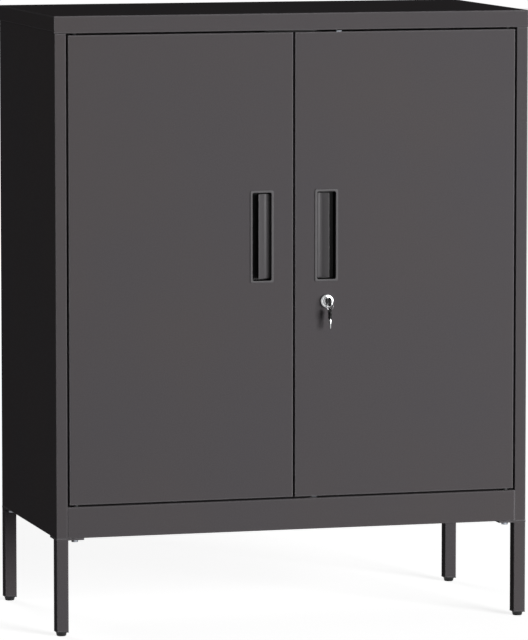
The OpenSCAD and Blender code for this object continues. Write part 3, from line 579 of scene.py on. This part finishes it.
# The grip: a curved plate that dips behind the near edge of the rim and comes up to
# the door's face, with an open slot beyond it for the fingers
grip_near = rim_low.x + RIM_W
grip_low = rim_low.z + RIM_W + GRIP_SHORT
grip_high = rim_high.z - RIM_W - GRIP_SHORT
grip_mesh = bpy.data.meshes.new("grip")
grip_path = [(grip_near, door_face), (grip_near + WALL, door_face + GRIP_D),
             (grip_near + GRIP_FLOOR, door_face + GRIP_D),
             (grip_near + GRIP_W, door_face + GRIP_LIP)]
grip_mesh.from_pydata([(x, y, z) for z in (grip_low, grip_high) for x, y in grip_path], [],
                      [(0, 1, 5, 4), (1, 2, 6, 5), (2, 3, 7, 6)])
grip = placed("grip", grip_mesh)
only(grip)
bpy.ops.object.mode_set(mode="EDIT")
for corner, offset in ((2, LIP_BEND), (1, GRIP_BEND)):
    fold = Vector(grip_path[corner])
    pick(grip, "EDGE", lambda p: (Vector((p.x, p.y)) - fold).length < ON_PLANE)
    bpy.ops.mesh.bevel(offset=offset, segments=8, affect="EDGES")
bpy.ops.object.mode_set(mode="OBJECT")
if max(grip.data.polygons, key=lambda f: f.area).normal.y > 0:
    grip.data.flip_normals()
sheet = grip.modifiers.new("sheet", "SOLIDIFY")
sheet.thickness = WALL
sheet.offset = -1
bpy.ops.object.modifier_apply(modifier="sheet")

moulding = joined("right_handle_moulding", [cup, grip])
bevel = moulding.modifiers.new("round", "BEVEL")
bevel.width = HANDLE_ROUND
bevel.segments = 3
bevel.limit_method = "ANGLE"
bevel.angle_limit = math.radians(40)
only(moulding)
bpy.ops.object.modifier_apply(modifier="round")
mirrored = placed("left_handle_moulding", moulding.data.copy())
mirrored.data.transform(Matrix.Scale(-1, 4, (1, 0, 0)))
mirrored.data.flip_normals()

# Faces that look forwards are satin grey, and those that turn away or lie deep are painted
# black as shade, with a ragged line between; the edges carry a painted pale highlight
handle_plastic = new_material("sprayed_abs_moulding")
place = add(handle_plastic, "ShaderNodeTexCoord")
facing = add(handle_plastic, "ShaderNodeSeparateXYZ", links={"Vector": place.outputs["Normal"]})
handle_noise = add(handle_plastic, "ShaderNodeTexNoise", {"Scale": 1 / (1.8 * MM), "Detail": 2},
            {"Vector": place.outputs["Object"]})
# Faces turned away from the front are painted black as shade, with a ragged edge
ragged = add(handle_plastic, "ShaderNodeMath", {"operation": "MULTIPLY_ADD", 1: 0.2},
             {0: handle_noise.outputs["Fac"], 2: facing.outputs["Y"]})
turned_away_shade = add(handle_plastic, "ShaderNodeMapRange", {"From Min": -0.72, "From Max": -0.45},
                  {"Value": ragged.outputs["Value"]})
along = add(handle_plastic, "ShaderNodeSeparateXYZ", links={"Vector": place.outputs["Object"]})
# Faces deeper than the grip plate are painted black as the shade in the recess
depth = add(handle_plastic, "ShaderNodeMapRange",
            {"From Min": door_face + GRIP_D + 1 * MM, "From Max": door_face + GRIP_D + 2 * MM},
            {"Value": along.outputs["Y"]})
painted_shade = add(handle_plastic, "ShaderNodeMath", {"operation": "MAXIMUM"},
                {0: turned_away_shade.outputs["Result"], 1: depth.outputs["Result"]})
grey_and_shade = add(handle_plastic, "ShaderNodeMix",
              {"data_type": "RGBA", 6: tone(HANDLE_GREY), 7: tone(HANDLE_SHADE_BLACK)},
              {0: painted_shade.outputs["Value"]})
# A pale line is painted on the edges of the rim and grip plate as their highlight, kept off the
# painted shade
rim_fold, rim_highlight_mask = edge_mask(handle_plastic, 1.1 * MM)
rim_highlight = add(handle_plastic, "ShaderNodeMath", {"operation": "MULTIPLY_ADD", 1: -1},
               {0: painted_shade.outputs["Value"], 2: rim_highlight_mask.outputs["Result"]})
rim_highlight.use_clamp = True
handle_colour = add(handle_plastic, "ShaderNodeMix",
                    {"data_type": "RGBA", 7: tone(HANDLE_EDGE_HIGHLIGHT)},
                    {0: rim_highlight.outputs["Value"], 6: grey_and_shade.outputs[2]})
handle_bump = add(handle_plastic, "ShaderNodeBump", {"Strength": 0.2, "Distance": 0.03 * MM},
                  {"Height": handle_noise.outputs["Fac"], "Normal": rim_fold.outputs["Normal"]})
handle_shader = add(handle_plastic, "ShaderNodeBsdfPrincipled",
                    {"Roughness": 0.45, "Specular IOR Level": 0.2},
                    {"Base Color": handle_colour.outputs[2],
                     "Normal": handle_bump.outputs["Normal"]})
add(handle_plastic, "ShaderNodeOutputMaterial", links={"Surface": handle_shader.outputs["BSDF"]})

fitted(moulding, "right_door", ["right_handle"], handle_plastic)
fitted(mirrored, "left_door", ["left_handle"], handle_plastic)


# ---------------------------------------------------------------- lock
# A cam lock of die-cast zinc, nickel plated and bright. Its threaded barrel has two flats
# and a thin nut, and the plug turns in it with a crank on its square tail. The crank's
# studs push two flat bars of zinc-plated steel up and down.
NICKEL = "#c2c3c4"
NICKEL_HAZE = "#a2a3a5"
FINE_ROUND = 0.2 * MM

# Bright nickel mirrors what is round it, with a slight haze
nickel = new_material("bright_nickel_plate")
place = add(nickel, "ShaderNodeTexCoord")
haze = add(nickel, "ShaderNodeTexNoise", {"Scale": 1 / (2 * MM), "Detail": 3},
           {"Vector": place.outputs["Object"]})
nickel_colour = add(nickel, "ShaderNodeMix",
                    {"data_type": "RGBA", 6: tone(NICKEL_HAZE), 7: tone(NICKEL)},
                    {0: haze.outputs["Fac"]})
nickel_rough = add(nickel, "ShaderNodeMapRange", {"To Min": 0.08, "To Max": 0.2},
                   {"Value": haze.outputs["Fac"]})
nickel_shader = add(nickel, "ShaderNodeBsdfPrincipled", {"Metallic": 1},
                    {"Base Color": nickel_colour.outputs[2],
                     "Roughness": nickel_rough.outputs["Result"]})
add(nickel, "ShaderNodeOutputMaterial", links={"Surface": nickel_shader.outputs["BSDF"]})

BORE_R = 6.65 * MM
BARREL_R = 9.5 * MM
BARREL_FLAT = 8.2 * MM
BARREL_SHORT = 0.3 * MM
THREAD = 1 * MM
lock_low, lock_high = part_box("lock_body")
lock_x, lock_z = (lock_low.x + lock_high.x) / 2, (lock_low.z + lock_high.z) / 2
face_r = (lock_high.x - lock_low.x) / 2
lock_front = lock_low.y

# The face: a raised lip round the plug, a shallow groove and a rounded outer edge
lip = [(0, 0.5), (0.5, 0.05), (1.2, 0.3), (2.2, 0.1)]
crown = [(1.5, 0.3), (0.6, 0.8), (0.1, 1.7), (0, 2.6)]
face_profile = [(BORE_R + out * MM, lock_front + back * MM) for out, back in lip]
face_profile += [(face_r - inwards * MM, lock_front + back * MM) for inwards, back in crown]
face_profile += [(face_r, door_face), (BORE_R, door_face)]
rosette = turned_piece("rosette", (lock_x, 0, lock_z), (0, 1, 0), face_profile, 72)

# The barrel: a root and a crest for each turn of thread, cut flat on both sides. It ends
# a little short of the plug.
turns = int((lock_high.y - door_face) / THREAD)
thread_profile = [(BORE_R, door_face - 0.5 * MM)]
for i in range(turns):
    thread_profile += [(BARREL_R - 0.45 * MM, door_face + (i + 0.05) * THREAD),
                       (BARREL_R, door_face + (i + 0.5) * THREAD)]
barrel_end = lock_high.y - BARREL_SHORT
thread_profile += [(BARREL_R - 0.5 * MM, barrel_end), (BORE_R, barrel_end)]
barrel = turned_piece("barrel", (lock_x, 0, lock_z), (0, 1, 0), thread_profile, 48)
for side in (-1, 1):
    bpy.ops.object.mode_set(mode="EDIT")
    bpy.ops.mesh.select_all(action="SELECT")
    bpy.ops.mesh.bisect(plane_co=(lock_x + side * BARREL_FLAT, 0, lock_z), plane_no=(side, 0, 0),
                        use_fill=True, clear_outer=True)
    bpy.ops.object.mode_set(mode="OBJECT")
lock_barrel = joined("lock_barrel", [rosette, barrel])
fitted(lock_barrel, "right_door", ["lock_body"], nickel)
softened("lock_plug", nickel, FINE_ROUND)
for name in ("lock_nut", "lock_crank", "crank_studs", "crank_screw",
             "upper_lock_bar", "lower_lock_bar"):
    softened(name, zinc, SMALL_ROUND)


# ---------------------------------------------------------------- keys and ring
# Two flat keys of nickel-plated brass with bows moulded in black plastic. The spare
# one hangs from a split ring of two turns of spring wire.
for name in ("key_bow", "spare_key_bow"):
    softened(name, black_plastic, 0.5 * MM)
for name in ("key_blade", "spare_key_blade"):
    softened(name, nickel, FINE_ROUND)

# The wire lies flat for its first turn, climbs by its own thickness and goes round again
RING_STEPS = 128
CLIMB_FROM = 0.42
CLIMB_SHARE = 0.16
ring_low, ring_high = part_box("key_ring")
ring_middle = (ring_low + ring_high) / 2
wire_d = ring_high.y - ring_low.y
turn_r = (ring_high.x - ring_low.x - wire_d) / 2 + wire_d / 8
wire = bpy.data.curves.new("ring_wire", "CURVE")
wire.dimensions = "3D"
wire.bevel_depth = wire_d / 4
wire.bevel_resolution = 4
wire.use_fill_caps = True
track = wire.splines.new("POLY")
track.points.add(RING_STEPS)
for i, point in enumerate(track.points):
    share = i / RING_STEPS
    angle = share * 2 * math.tau
    climb = wire_d / 2 * (min(max((share - CLIMB_FROM) / CLIMB_SHARE, 0), 1) - 0.5)
    point.co = (ring_middle.x + turn_r * math.cos(angle), ring_middle.y + climb,
                ring_middle.z + turn_r * math.sin(angle), 1)
only(placed("split_ring", wire))
bpy.ops.object.convert(target="MESH")
fitted(bpy.context.object, "key_ring", ["key_ring"], nickel)


# ---------------------------------------------------------------- studio
# A plain pale floor that keeps the cabinet's shadow, a white surround, one broad
# soft light from the right of the camera and weak ones from the left and behind.
FLOOR_SHADE = "#a8a8a8"
FLOOR_SEEN = "#e6e6e6"
FLOOR_GLOW = 0.82
AMBIENT = 0.02
CABINET_MIDDLE = Vector((0, 0, 0.55))
WHITE = (1, 1, 1, 1)

# The floor glows for the camera and in reflections alone, so it puts no light on the cabinet
floor_paint = new_material("studio_floor")
rays = add(floor_paint, "ShaderNodeLightPath")
seen = add(floor_paint, "ShaderNodeMath", {"operation": "MAXIMUM"},
           {0: rays.outputs["Is Camera Ray"], 1: rays.outputs["Is Glossy Ray"]})
floor_colour = add(floor_paint, "ShaderNodeMix",
                   {"data_type": "RGBA", 6: tone(FLOOR_SHADE), 7: tone(FLOOR_SEEN)},
                   {0: seen.outputs["Value"]})
pale = add(floor_paint, "ShaderNodeBsdfDiffuse", links={"Color": floor_colour.outputs[2]})
glow_level = add(floor_paint, "ShaderNodeMath", {"operation": "MULTIPLY", 1: FLOOR_GLOW},
                 {0: seen.outputs["Value"]})
glow = add(floor_paint, "ShaderNodeEmission", {"Color": WHITE},
           {"Strength": glow_level.outputs["Value"]})
floor_sum = add(floor_paint, "ShaderNodeAddShader",
                links={0: pale.outputs["BSDF"], 1: glow.outputs["Emission"]})
add(floor_paint, "ShaderNodeOutputMaterial", links={"Surface": floor_sum.outputs["Shader"]})
bpy.ops.object.select_all(action="DESELECT")
bpy.ops.mesh.primitive_plane_add(size=40, location=(0, 0, 0))
floor = bpy.context.object
floor.name = "studio_floor"
paint_with(floor, floor_paint)

# The surround is white in the same way, with a little of it left to lift the shadows
world = bpy.data.worlds.new("studio")
bpy.context.scene.world = world
world.use_nodes = True
world.node_tree.nodes.clear()
rays = add(world, "ShaderNodeLightPath")
mirrored_rays = add(world, "ShaderNodeMath", {"operation": "MAXIMUM"},
                    {0: rays.outputs["Is Glossy Ray"], 1: rays.outputs["Is Transmission Ray"]})
seen = add(world, "ShaderNodeMath", {"operation": "MAXIMUM"},
           {0: rays.outputs["Is Camera Ray"], 1: mirrored_rays.outputs["Value"]})
level = add(world, "ShaderNodeMapRange", {"To Min": AMBIENT}, {"Value": seen.outputs["Value"]})
surround = add(world, "ShaderNodeBackground", {"Color": WHITE},
               {"Strength": level.outputs["Result"]})
add(world, "ShaderNodeOutputWorld", links={"Surface": surround.outputs["Background"]})


def softbox(name, place_at, size, power):
    """A square lamp, size in metres and power in watts, that looks at the cabinet's middle"""
    lamp = bpy.data.lights.new(name, "AREA")
    lamp.size = size
    lamp.energy = power
    holder = placed(name, lamp)
    holder.location = place_at
    towards = CABINET_MIDDLE - Vector(place_at)
    holder.rotation_euler = towards.to_track_quat("-Z", "Y").to_euler()


softbox("key_light", (3.3, -6.4, 1.4), 2.8, 465)
softbox("left_fill", (-5, -1.5, 1.2), 2.5, 14)
softbox("back_fill", (-1.8, 6.2, 3), 2.4, 80)

bpy.context.scene.view_settings.view_transform = "Standard"
bpy.context.view_layer.update()
